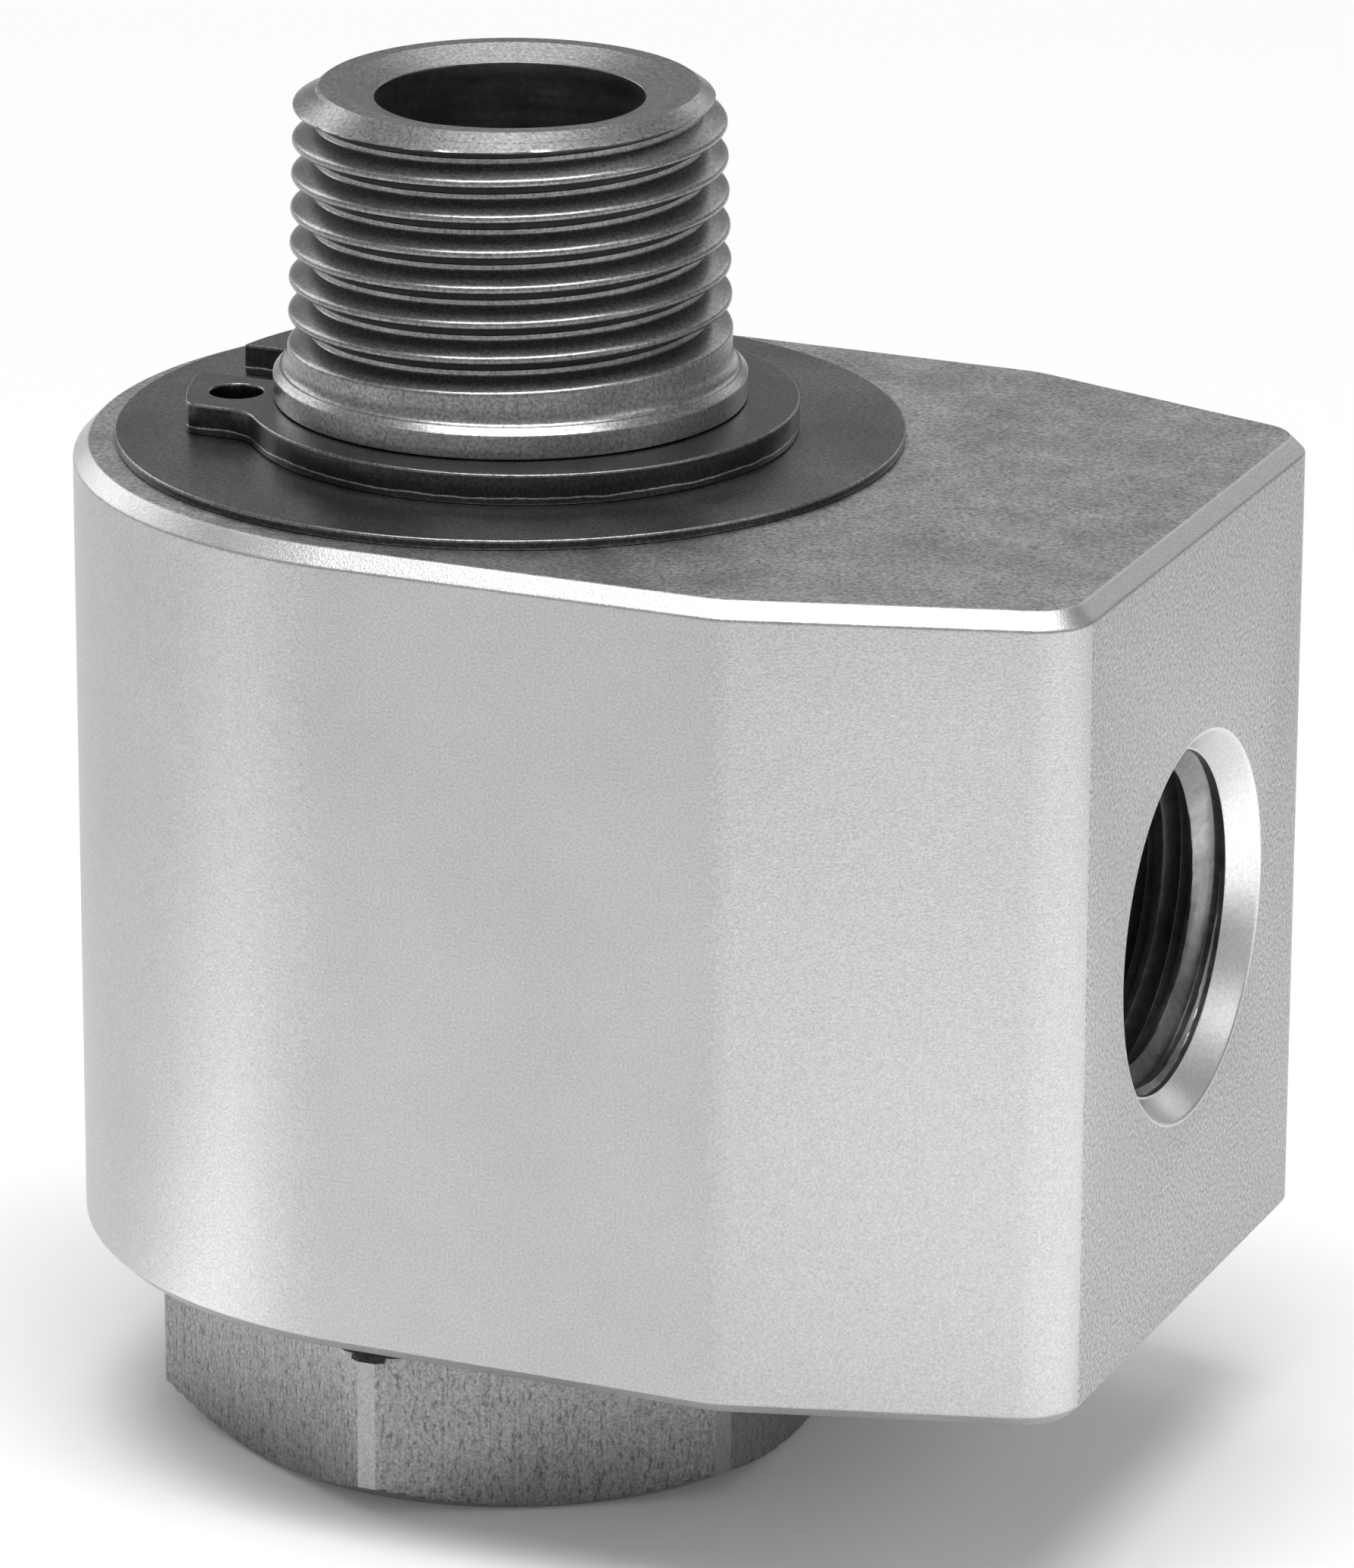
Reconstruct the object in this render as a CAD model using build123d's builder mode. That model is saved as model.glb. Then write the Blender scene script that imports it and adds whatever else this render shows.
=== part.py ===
"""A right-angle hydraulic rotary union with one inlet and one outlet.

The housing swivels on a hollow shaft. Oil enters the threaded port in the
side, passes a lantern ring and four cross holes, and leaves through the
tapered male thread at the top of the shaft.

Frame: millimetres, +Z along the shaft axis, +X out of the inlet port. The
origin is the centre of the lower face of the hexagon.
"""
import os
from math import radians, sqrt, tan

from build123d import *

os.makedirs("parts", exist_ok=True)

# ---- Driving dimensions -------------------------------------------------

# Shaft: hexagon, journal and outlet thread
JOURNAL_D = 18.0
HEX_FLATS = 24.0
HEX_HEIGHT = 7.4
HEX_CORNER_D = 27.3
HEX_FACE_D = 23.4
HEX_CHAMFER_ANGLE = 30.0
PASSAGE_D = 10.2
DRILL_POINT_ANGLE = 118.0
CROSS_HOLE_D = 5.0
CROSS_HOLE_COUNT = 4
THREAD_GAUGE_D = 16.662
THREAD_LENGTH = 10.15
THREAD_RIM_D = 14.3
THREAD_CHAMFER = 0.65
RUN_OUT_HEIGHT = 0.7
MOUTH_D = 13.0
MOUTH_DEPTH = 0.43
COLLAR_LENGTH = 0.9
COLLAR_BEVEL = 0.25

# Retaining ring and its groove
RING_THICKNESS = 1.2
RING_GROOVE_D = 17.0
RING_BEAM = 2.5
RING_END_BEAM = 1.55
RING_LUG_REACH = 3.8
RING_LUG_WIDTH = 4.15
RING_LUG_CORNER_R = 0.7
RING_LUG_ROOT_R = 1.6
RING_GAP = 4.0
RING_HOLE_D = 2.05
RING_HOLE_RISE = 1.9
RING_HOLE_SETBACK = 1.9

# Thrust washers between the shaft's shoulders and the housing
WASHER_D = 30.0
WASHER_THICKNESS = 0.4

# Housing
HOUSING_HEIGHT = 31.4
HOUSING_ROUND_R = 16.6
FLANK_LENGTH = 15.4
INLET_REACH = 27.9
INLET_FACE_WIDTH = 25.7
INLET_CORNER_R = 2.4
TOP_CHAMFER = 0.6
BOTTOM_CHAMFER = 0.5
BORE_D = 24.0
BORE_CHAMFER = 0.3

# Inlet port, a parallel pipe thread of a quarter inch
PORT_HEIGHT = 15.5
PORT_MINOR_D = 11.445
PORT_MAJOR_D = 13.157
PORT_MOUTH_D = 14.95
PORT_MOUTH_DEPTH = 1.1
PORT_DEPTH = 12.0
INLET_PASSAGE_D = 6.0

# Wiper seals
WIPER_HEIGHT = 3.0
WIPER_CASE_WALL = 0.6
WIPER_FLOOR = 0.5
WIPER_FLOOR_D = 20.2
WIPER_HEEL_D = 19.0
WIPER_HEEL_HEIGHT = 1.4
WIPER_LIP_TIP = 0.4
WIPER_LIP_DEPTH = 0.2
WIPER_LIP_WALL = 0.8
WIPER_NOTCH_DEPTH = 1.2

# Snap rings in the housing bore
SNAP_THICKNESS = 1.2
SNAP_GROOVE_DEPTH = 0.6
SNAP_BEAM = 1.9
SNAP_GAP = 3.6

# Guide bushes
BUSH_HEIGHT = 4.5
BUSH_CHAMFER = 0.35
BUSH_GROOVE_WIDTH = 1.0
BUSH_GROOVE_DEPTH = 0.5

# Pressure seals
BACKUP_HEIGHT = 1.0
CUP_HEIGHT = 2.6
CUP_BASE = 1.0
CUP_LIP = 0.75

# Lantern ring
LANTERN_WEB = 0.8
LANTERN_LAND = 0.8
LANTERN_HOLE_D = 3.0
LANTERN_HOLE_COUNT = 8

# Clearances, all radial unless named otherwise
RUNNING_CLEARANCE = 0.03
SEAL_CLEARANCE = 0.03
BACKUP_CLEARANCE = 0.05
WASHER_CLEARANCE = 0.10
LANTERN_CLEARANCE = 0.40
ENERGISER_CLEARANCE = 0.02
GROOVE_PLAY = 0.05

# ---- Worked-out places --------------------------------------------------

journal_r = JOURNAL_D / 2
bore_r = BORE_D / 2

housing_bottom = HEX_HEIGHT + WASHER_THICKNESS
housing_top = housing_bottom + HOUSING_HEIGHT
port_z = housing_bottom + PORT_HEIGHT

ring_bottom = housing_top + WASHER_THICKNESS
groove_bottom = ring_bottom - GROOVE_PLAY
groove_top = ring_bottom + RING_THICKNESS + GROOVE_PLAY
collar_top = groove_top + COLLAR_LENGTH
run_out_bottom = collar_top + COLLAR_BEVEL
thread_bottom = run_out_bottom + RUN_OUT_HEIGHT
shaft_top = thread_bottom + THREAD_LENGTH

snap_groove_height = SNAP_THICKNESS + 2 * GROOVE_PLAY
seal_stack = WIPER_HEIGHT + snap_groove_height + BUSH_HEIGHT + BACKUP_HEIGHT + CUP_HEIGHT
lantern_height = HOUSING_HEIGHT - 2 * seal_stack


def save(piece, name):
    """Label a finished piece and write its STEP file."""
    piece.part.label = name
    export_step(piece.part, f"parts/{name}.step")


# ---- Hollow shaft -------------------------------------------------------

hex_corner_r = HEX_CORNER_D / 2
hex_face_r = HEX_FACE_D / 2
hex_chamfer_drop = (hex_corner_r - hex_face_r) * tan(radians(HEX_CHAMFER_ANGLE))
thread_r = THREAD_GAUGE_D / 2
passage_r = PASSAGE_D / 2
passage_bottom = port_z - CROSS_HOLE_D
drill_point = passage_r / tan(radians(DRILL_POINT_ANGLE / 2))

with BuildPart() as hollow_shaft:
    # The hexagon, with its corners turned round and both ends chamfered
    with BuildSketch():
        RegularPolygon(HEX_FLATS / 2, 6, major_radius=False, rotation=30)
    extrude(amount=HEX_HEIGHT)
    with BuildSketch(Plane.XZ):
        with BuildLine():
            Polyline(
                (0, 0),
                (hex_face_r, 0),
                (hex_corner_r, hex_chamfer_drop),
                (hex_corner_r, HEX_HEIGHT - hex_chamfer_drop),
                (hex_face_r, HEX_HEIGHT),
                (0, HEX_HEIGHT),
                close=True,
            )
        make_face()
    revolve(axis=Axis.Z, mode=Mode.INTERSECT)

    # The turned length: journal, ring groove, collar and thread, whose
    # taper of 1 in 16 is cut with its turns
    with BuildSketch(Plane.XZ):
        with BuildLine():
            Polyline(
                (thread_r, thread_bottom),
                (thread_r, shaft_top - THREAD_CHAMFER),
                (THREAD_RIM_D / 2, shaft_top),
                (0, shaft_top),
                (0, HEX_HEIGHT),
                (journal_r, HEX_HEIGHT),
                (journal_r, groove_bottom),
                (RING_GROOVE_D / 2, groove_bottom),
                (RING_GROOVE_D / 2, groove_top),
                (journal_r, groove_top),
                (journal_r, collar_top),
                (journal_r - COLLAR_BEVEL, run_out_bottom),
            )
            TangentArc(
                (thread_r, thread_bottom),
                (journal_r - COLLAR_BEVEL, run_out_bottom),
                tangent=(0, -1),
            )
        make_face()
    revolve(axis=Axis.Z)

    # The passage: a widened mouth, the drilled bore and its conical end
    with BuildSketch(Plane.XZ):
        with BuildLine():
            Polyline(
                (0, shaft_top),
                (MOUTH_D / 2, shaft_top),
                (passage_r, shaft_top - MOUTH_DEPTH),
                (passage_r, passage_bottom),
                (0, passage_bottom - drill_point),
                close=True,
            )
        make_face()
    revolve(axis=Axis.Z, mode=Mode.SUBTRACT)

    # Cross holes from the passage to the lantern ring
    with Locations((0, 0, port_z)):
        with PolarLocations(0, CROSS_HOLE_COUNT // 2, angular_range=180):
            Cylinder(CROSS_HOLE_D / 2, JOURNAL_D, rotation=(0, 90, 0), mode=Mode.SUBTRACT)

save(hollow_shaft, "hollow_shaft")

# ---- Retaining ring -----------------------------------------------------

ring_inner_r = RING_GROOVE_D / 2
ring_outer_r = ring_inner_r + (RING_BEAM + RING_END_BEAM) / 2
ring_offset = (RING_BEAM - RING_END_BEAM) / 2
lug_outer_r = ring_inner_r + RING_LUG_REACH
lug_side_y = RING_GAP / 2 + RING_LUG_WIDTH
hole_pitch_r = ring_inner_r + RING_HOLE_RISE
hole_y = RING_GAP / 2 + RING_HOLE_SETBACK
hole_x = -sqrt(hole_pitch_r**2 - hole_y**2)

with BuildPart() as retaining_ring:
    # The beam is widest opposite the gap, which faces away from the inlet
    with BuildSketch(Plane.XY.offset(ring_bottom)) as ring_sketch:
        with BuildSketch(mode=Mode.PRIVATE) as lug_pair:
            Circle(lug_outer_r)
            Rectangle(lug_outer_r, 2 * lug_side_y, align=(Align.MAX, Align.CENTER), mode=Mode.INTERSECT)
        with Locations((ring_offset, 0)):
            Circle(ring_outer_r)
        add(lug_pair.sketch)
        lug_tips = ring_sketch.vertices().group_by(Axis.X)[0]
        fillet(lug_tips, RING_LUG_CORNER_R)
        side_ends = ring_sketch.vertices().filter_by(lambda v: abs(abs(v.Y) - lug_side_y) < 1e-3)
        fillet(side_ends.group_by(Axis.X)[-1], RING_LUG_ROOT_R)
        Circle(ring_inner_r, mode=Mode.SUBTRACT)
        Rectangle(lug_outer_r, RING_GAP, align=(Align.MAX, Align.CENTER), mode=Mode.SUBTRACT)
        with Locations((hole_x, hole_y), (hole_x, -hole_y)):
            Circle(RING_HOLE_D / 2, mode=Mode.SUBTRACT)
    extrude(amount=RING_THICKNESS)

save(retaining_ring, "retaining_ring")

# ---- Thrust washers -----------------------------------------------------


def thrust_washer(bottom):
    """Make one flat washer that bears on an end face of the housing."""
    with BuildPart() as washer:
        with BuildSketch(Plane.XY.offset(bottom)):
            Circle(WASHER_D / 2)
            Circle(journal_r + WASHER_CLEARANCE, mode=Mode.SUBTRACT)
        extrude(amount=WASHER_THICKNESS)
    return washer


upper_thrust_washer = thrust_washer(housing_top)
save(upper_thrust_washer, "upper_thrust_washer")
lower_thrust_washer = thrust_washer(HEX_HEIGHT)
save(lower_thrust_washer, "lower_thrust_washer")

# ---- Housing ------------------------------------------------------------

stack_mid_z = (housing_bottom + housing_top) / 2
port_minor_r = PORT_MINOR_D / 2
port_major_r = PORT_MAJOR_D / 2
port_mouth_r = PORT_MOUTH_D / 2
port_floor_x = INLET_REACH - PORT_DEPTH
port_lead_x = INLET_REACH - PORT_MOUTH_DEPTH
port_core_x = port_lead_x - (port_major_r - port_minor_r)
snap_groove_r = bore_r + SNAP_GROOVE_DEPTH
snap_groove_offset = HOUSING_HEIGHT / 2 - WIPER_HEIGHT - snap_groove_height / 2

with BuildPart() as housing:
    # Plan: a round end about the bore, parallel flanks, then flanks that
    # close in on the inlet face
    with BuildSketch(Plane.XY.offset(housing_bottom)) as plan:
        Circle(HOUSING_ROUND_R)
        Rectangle(FLANK_LENGTH, 2 * HOUSING_ROUND_R, align=(Align.MIN, Align.CENTER))
        with BuildLine():
            Polyline(
                (FLANK_LENGTH, -HOUSING_ROUND_R),
                (INLET_REACH, -INLET_FACE_WIDTH / 2),
                (INLET_REACH, INLET_FACE_WIDTH / 2),
                (FLANK_LENGTH, HOUSING_ROUND_R),
                close=True,
            )
        make_face()
        fillet(plan.vertices().group_by(Axis.X)[-1], INLET_CORNER_R)
    extrude(amount=HOUSING_HEIGHT)
    chamfer(housing.faces().sort_by(Axis.Z)[-1].edges(), TOP_CHAMFER)
    chamfer(housing.faces().sort_by(Axis.Z)[0].edges(), BOTTOM_CHAMFER)

    # The bore, with broken edges and a groove for each snap ring
    with BuildSketch(Plane.XZ):
        with BuildLine():
            Polyline(
                (0, housing_bottom),
                (bore_r + BORE_CHAMFER, housing_bottom),
                (bore_r, housing_bottom + BORE_CHAMFER),
                (bore_r, housing_top - BORE_CHAMFER),
                (bore_r + BORE_CHAMFER, housing_top),
                (0, housing_top),
                close=True,
            )
        make_face()
        with Locations(
            (snap_groove_r / 2, stack_mid_z - snap_groove_offset),
            (snap_groove_r / 2, stack_mid_z + snap_groove_offset),
        ):
            Rectangle(snap_groove_r, snap_groove_height)
    revolve(axis=Axis.Z, mode=Mode.SUBTRACT)

    # The inlet: mouth, thread core and the passage into the bore
    with BuildSketch(Plane.XZ):
        with BuildLine():
            Polyline(
                (0, port_z),
                (0, port_z + INLET_PASSAGE_D / 2),
                (port_floor_x, port_z + INLET_PASSAGE_D / 2),
                (port_floor_x, port_z + port_minor_r),
                (port_core_x, port_z + port_minor_r),
                (port_lead_x, port_z + port_major_r),
                (INLET_REACH, port_z + port_mouth_r),
                (INLET_REACH, port_z),
                close=True,
            )
        make_face()
    revolve(axis=Axis((0, 0, port_z), (1, 0, 0)), mode=Mode.SUBTRACT)

save(housing, "housing")

# ---- Seal and bearing stack ---------------------------------------------
# Both ends of the bore hold the same pieces in mirrored order. A depth is
# measured from the end face of the housing inwards.


def level(side, depth):
    """Return the height of a plane at a depth inside one end of the bore."""
    return housing_bottom + depth if side == "lower" else housing_top - depth


def turned(side, points):
    """Revolve a closed section of (radius, depth) points about the shaft."""
    with BuildPart() as piece:
        with BuildSketch(Plane.XZ):
            with BuildLine():
                Polyline(*[(r, level(side, depth)) for r, depth in points], close=True)
            make_face()
        revolve(axis=Axis.Z)
    return piece


def wiper_case(side):
    """Make the pressed steel case of a wiper, with its floor inwards."""
    wall_r = bore_r - WIPER_CASE_WALL
    floor_r = WIPER_FLOOR_D / 2
    floor = WIPER_HEIGHT - WIPER_FLOOR
    return turned(
        side,
        [
            (bore_r, 0),
            (bore_r, WIPER_HEIGHT),
            (floor_r, WIPER_HEIGHT),
            (floor_r, floor),
            (wall_r, floor),
            (wall_r, 0),
        ],
    )


def wiper_lip(side):
    """Make the rubber of a wiper: a heel in the case and a lip outwards."""
    wall_r = bore_r - WIPER_CASE_WALL
    floor_r = WIPER_FLOOR_D / 2
    floor = WIPER_HEIGHT - WIPER_FLOOR
    heel_r = WIPER_HEEL_D / 2
    lip_r = journal_r + SEAL_CLEARANCE
    lip_back_r = lip_r + WIPER_LIP_WALL
    return turned(
        side,
        [
            (wall_r, WIPER_LIP_DEPTH),
            (wall_r, floor),
            (floor_r, floor),
            (floor_r, WIPER_HEIGHT),
            (heel_r, WIPER_HEIGHT),
            (heel_r, WIPER_HEIGHT - WIPER_HEEL_HEIGHT),
            (lip_r, WIPER_LIP_DEPTH + WIPER_LIP_TIP),
            (lip_r, WIPER_LIP_DEPTH),
            (lip_back_r, WIPER_NOTCH_DEPTH),
            (wall_r - WIPER_LIP_WALL, WIPER_NOTCH_DEPTH),
        ],
    )


def snap_ring(side):
    """Make the open ring that keeps the stack in the bore."""
    near = level(side, WIPER_HEIGHT + GROOVE_PLAY)
    far = level(side, WIPER_HEIGHT + GROOVE_PLAY + SNAP_THICKNESS)
    with BuildPart() as ring:
        with BuildSketch(Plane.XY.offset(min(near, far))):
            Circle(snap_groove_r)
            Circle(snap_groove_r - SNAP_BEAM, mode=Mode.SUBTRACT)
            Rectangle(snap_groove_r, SNAP_GAP, align=(Align.MAX, Align.CENTER), mode=Mode.SUBTRACT)
        extrude(amount=SNAP_THICKNESS)
    return ring


def guide_bush(side):
    """Make a bearing bush with broken edges and a grease groove inside."""
    inner_r = journal_r + RUNNING_CLEARANCE
    near = WIPER_HEIGHT + snap_groove_height
    far = near + BUSH_HEIGHT
    with BuildPart() as bush:
        with BuildSketch(Plane.XZ):
            with BuildLine():
                Polyline(
                    (inner_r + BUSH_CHAMFER, level(side, near)),
                    (bore_r - BUSH_CHAMFER, level(side, near)),
                    (bore_r, level(side, near + BUSH_CHAMFER)),
                    (bore_r, level(side, far)),
                    (inner_r + BUSH_CHAMFER, level(side, far)),
                    (inner_r, level(side, far - BUSH_CHAMFER)),
                    (inner_r, level(side, near + BUSH_CHAMFER)),
                    close=True,
                )
            make_face()
            with Locations((inner_r, level(side, (near + far) / 2))):
                Rectangle(2 * BUSH_GROOVE_DEPTH, BUSH_GROOVE_WIDTH, mode=Mode.SUBTRACT)
        revolve(axis=Axis.Z)
    return bush


def backup_ring(side):
    """Make the hard ring behind a cup seal."""
    near = WIPER_HEIGHT + snap_groove_height + BUSH_HEIGHT
    inner_r = journal_r + BACKUP_CLEARANCE
    return turned(
        side,
        [
            (inner_r, near),
            (bore_r, near),
            (bore_r, near + BACKUP_HEIGHT),
            (inner_r, near + BACKUP_HEIGHT),
        ],
    )


cup_inner_r = journal_r + SEAL_CLEARANCE
cup_floor = seal_stack - CUP_HEIGHT
cup_mid_r = (cup_inner_r + bore_r) / 2
cup_groove_r = (bore_r - cup_inner_r) / 2 - CUP_LIP
energiser_depth = cup_floor + CUP_BASE + cup_groove_r


def cup_seal(side):
    """Make a cup seal whose two lips face the oil between the two cups."""
    groove_floor = cup_floor + CUP_BASE
    return turned(
        side,
        [
            (cup_inner_r, cup_floor),
            (bore_r, cup_floor),
            (bore_r, seal_stack),
            (cup_mid_r + cup_groove_r, seal_stack),
            (cup_mid_r + cup_groove_r, groove_floor),
            (cup_mid_r - cup_groove_r, groove_floor),
            (cup_mid_r - cup_groove_r, seal_stack),
            (cup_inner_r, seal_stack),
        ],
    )


def energiser_ring(side):
    """Make the O-ring that spreads the lips of a cup seal."""
    with BuildPart() as ring:
        with BuildSketch(Plane.XZ):
            with Locations((cup_mid_r, level(side, energiser_depth))):
                Circle(cup_groove_r - ENERGISER_CLEARANCE)
        revolve(axis=Axis.Z)
    return ring


stack_pieces = {
    "wiper_case": wiper_case,
    "wiper_lip": wiper_lip,
    "snap_ring": snap_ring,
    "guide_bush": guide_bush,
    "backup_ring": backup_ring,
    "cup_seal": cup_seal,
    "energiser_ring": energiser_ring,
}
for side in ("lower", "upper"):
    for piece_name, make_piece in stack_pieces.items():
        save(make_piece(side), f"{side}_{piece_name}")

# ---- Lantern ring -------------------------------------------------------

lantern_inner_r = journal_r + LANTERN_CLEARANCE
lantern_web_inner_r = (lantern_inner_r + bore_r - LANTERN_WEB) / 2
lantern_web_outer_r = lantern_web_inner_r + LANTERN_WEB
lantern_groove_height = lantern_height - 2 * LANTERN_LAND

with BuildPart() as lantern_ring:
    # A channel inside and outside, joined by a ring of radial holes
    with BuildSketch(Plane.XZ):
        with Locations(((lantern_inner_r + bore_r) / 2, stack_mid_z)):
            Rectangle(bore_r - lantern_inner_r, lantern_height)
        with Locations((lantern_inner_r, stack_mid_z)):
            Rectangle(
                2 * (lantern_web_inner_r - lantern_inner_r),
                lantern_groove_height,
                mode=Mode.SUBTRACT,
            )
        with Locations((bore_r, stack_mid_z)):
            Rectangle(
                2 * (bore_r - lantern_web_outer_r),
                lantern_groove_height,
                mode=Mode.SUBTRACT,
            )
    revolve(axis=Axis.Z)
    with Locations((0, 0, stack_mid_z)):
        with PolarLocations(0, LANTERN_HOLE_COUNT // 2, angular_range=180):
            Cylinder(LANTERN_HOLE_D / 2, BORE_D, rotation=(0, 90, 0), mode=Mode.SUBTRACT)

save(lantern_ring, "lantern_ring")
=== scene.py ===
"""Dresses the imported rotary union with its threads, finishes, light and camera.

Lengths in the classes are millimetres and angles are degrees, in the frame of
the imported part: +Z is the shaft's axis, +X points out of the inlet port, and
the origin is the centre of the hexagon's lower face. Meshes are made in metres.
"""
import logging
import math
from dataclasses import dataclass, field, replace
from enum import Enum, IntEnum
from typing import Callable, Optional, Sequence

import bmesh
import bpy
from mathutils import Matrix, Vector

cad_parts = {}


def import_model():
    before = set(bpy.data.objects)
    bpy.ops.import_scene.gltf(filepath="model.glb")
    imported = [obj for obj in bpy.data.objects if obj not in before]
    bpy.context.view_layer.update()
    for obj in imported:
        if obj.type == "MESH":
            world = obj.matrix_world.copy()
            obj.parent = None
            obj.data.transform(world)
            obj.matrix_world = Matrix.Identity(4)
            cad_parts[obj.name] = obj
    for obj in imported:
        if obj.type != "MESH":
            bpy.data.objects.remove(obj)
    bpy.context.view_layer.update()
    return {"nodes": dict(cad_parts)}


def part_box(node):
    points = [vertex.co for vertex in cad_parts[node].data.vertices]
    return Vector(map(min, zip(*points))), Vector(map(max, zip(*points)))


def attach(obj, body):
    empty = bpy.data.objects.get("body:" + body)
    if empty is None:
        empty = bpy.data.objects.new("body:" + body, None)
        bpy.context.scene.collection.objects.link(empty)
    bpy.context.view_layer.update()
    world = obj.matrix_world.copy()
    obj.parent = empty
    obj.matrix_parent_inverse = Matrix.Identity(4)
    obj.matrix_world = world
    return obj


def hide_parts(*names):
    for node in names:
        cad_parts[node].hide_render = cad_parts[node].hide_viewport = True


MM = 0.001
LOG = logging.getLogger("rotary_union")

# Points closer than this, in millimetres, become one.
MERGE = 1e-6
# Edges sharper than this, in degrees, stay sharp to the eye.
SHARP_ANGLE = 24.0
# A corner is left alone when half its angle is over this, in degrees.
STRAIGHT_HALF_ANGLE = 88.0
# The share of a run that the round at one of its ends may take.
ROUND_SHARE = 0.45
# A face nearer than this to a plane, in millimetres, lies in it.
TOUCH = 0.01
# The angle that one side of a hexagon takes up.
SIDE_ANGLE = 60.0
UPRIGHT = Matrix.Identity(4)

Point = tuple[float, float]
Colour = tuple[float, float, float, float]
Tree = bpy.types.NodeTree
Socket = bpy.types.NodeSocket


# ---- Small tools --------------------------------------------------------


def linear(hex_colour: str) -> Colour:
    """Turn an sRGB hex colour into a linear one.

    Args:
        hex_colour: Six hex digits, such as "C8C9CA".

    Returns:
        Red, green, blue and an alpha of 1.
    """
    parts = [int(hex_colour[i : i + 2], 16) / 255 for i in (0, 2, 4)]
    red, green, blue = (
        c / 12.92 if c <= 0.04045 else ((c + 0.055) / 1.055) ** 2.4 for c in parts
    )
    return red, green, blue, 1.0


def add_node(
    tree: Tree,
    kind: str,
    settings: Optional[dict] = None,
    links: Optional[dict] = None,
) -> bpy.types.Node:
    """Add one node to a tree.

    Args:
        tree: The tree that the node goes into.
        kind: The node's type name.
        settings: Values by attribute name, or by input name or number.
        links: The output socket for each input, by its name or number.

    Returns:
        The new node.
    """
    node = tree.nodes.new(kind)
    values = settings or {}
    attributes = [key for key in values if isinstance(key, str) and hasattr(node, key)]
    for key in attributes:
        setattr(node, key, values[key])
    for key in values:
        if key not in attributes:
            node.inputs[key].default_value = values[key]
    for key, socket in (links or {}).items():
        tree.links.new(socket, node.inputs[key])
    return node


def arc(
    centre: Point, radius: float, start: float, end: float, steps: int
) -> list[Point]:
    """Sample a circular arc.

    Args:
        centre: The arc's centre.
        radius: Its radius.
        start: Its first angle.
        end: Its last angle.
        steps: The number of chords.

    Returns:
        The points, with both ends.
    """
    angles = [math.radians(start + (end - start) * i / steps) for i in range(steps + 1)]
    return [
        (centre[0] + radius * math.cos(a), centre[1] + radius * math.sin(a))
        for a in angles
    ]


def soften(
    points: Sequence[Point],
    radius: float | Sequence[float],
    steps: int = 3,
    support: float = 0.05,
) -> list[Point]:
    """Round the inner corners of an open line, as a deburring tool would.

    Args:
        points: The line's corners.
        radius: One radius, or one for each inner corner. A round is smaller
            where the runs beside it are short.
        steps: The number of chords in each round.
        support: How far past a round an extra point goes on a long run.

    Returns:
        The line with its corners rounded.
    """
    line = [Vector(p) for p in points]
    radii = [radius] * (len(line) - 2) if isinstance(radius, float) else radius
    result = [line[0]]
    for wanted, before, corner, after in zip(radii, line, line[1:], line[2:]):
        back, ahead = before - corner, after - corner
        shorter = min(back.length, ahead.length)
        if shorter < MERGE:
            continue
        half = back.angle(ahead) / 2
        if half > math.radians(STRAIGHT_HALF_ANGLE):
            result.append(corner)
            continue
        reach = min(wanted / math.tan(half), shorter * ROUND_SHARE)
        middle = (back.normalized() + ahead.normalized()).normalized()
        centre = corner + middle * (reach * math.tan(half) / math.sin(half))
        first = corner + back.normalized() * reach
        last = corner + ahead.normalized() * reach
        if back.length > 4 * (reach + support):
            result.append(corner + back.normalized() * (reach + support))
        spoke = first - centre
        turn = spoke.angle_signed(last - centre)
        for i in range(steps + 1):
            c, s = math.cos(turn * i / steps), -math.sin(turn * i / steps)
            bent = Vector((spoke.x * c - spoke.y * s, spoke.x * s + spoke.y * c))
            result.append(centre + bent)
        if ahead.length > 4 * (reach + support):
            result.append(corner + ahead.normalized() * (reach + support))
    result.append(line[-1])
    return [(p.x, p.y) for p in result]


def mesh_object(
    name: str, vertices: Sequence[Sequence[float]], faces: Sequence[Sequence[int]]
) -> bpy.types.Object:
    """Make a mesh object, with matching vertices merged.

    Args:
        name: The object's name.
        vertices: Points in millimetres.
        faces: Indices of each face's corners.

    Returns:
        The object, linked to the scene, in metres.
    """
    mesh = bpy.data.meshes.new(name)
    mesh.from_pydata([Vector(v) * MM for v in vertices], [], faces)
    work = bmesh.new()
    work.from_mesh(mesh)
    bmesh.ops.remove_doubles(work, verts=work.verts, dist=MERGE * MM)
    bmesh.ops.dissolve_degenerate(work, edges=work.edges, dist=MERGE * MM)
    bmesh.ops.recalc_face_normals(work, faces=work.faces)
    work.to_mesh(mesh)
    work.free()
    obj = bpy.data.objects.new(name, mesh)
    bpy.context.scene.collection.objects.link(obj)
    return obj


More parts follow.
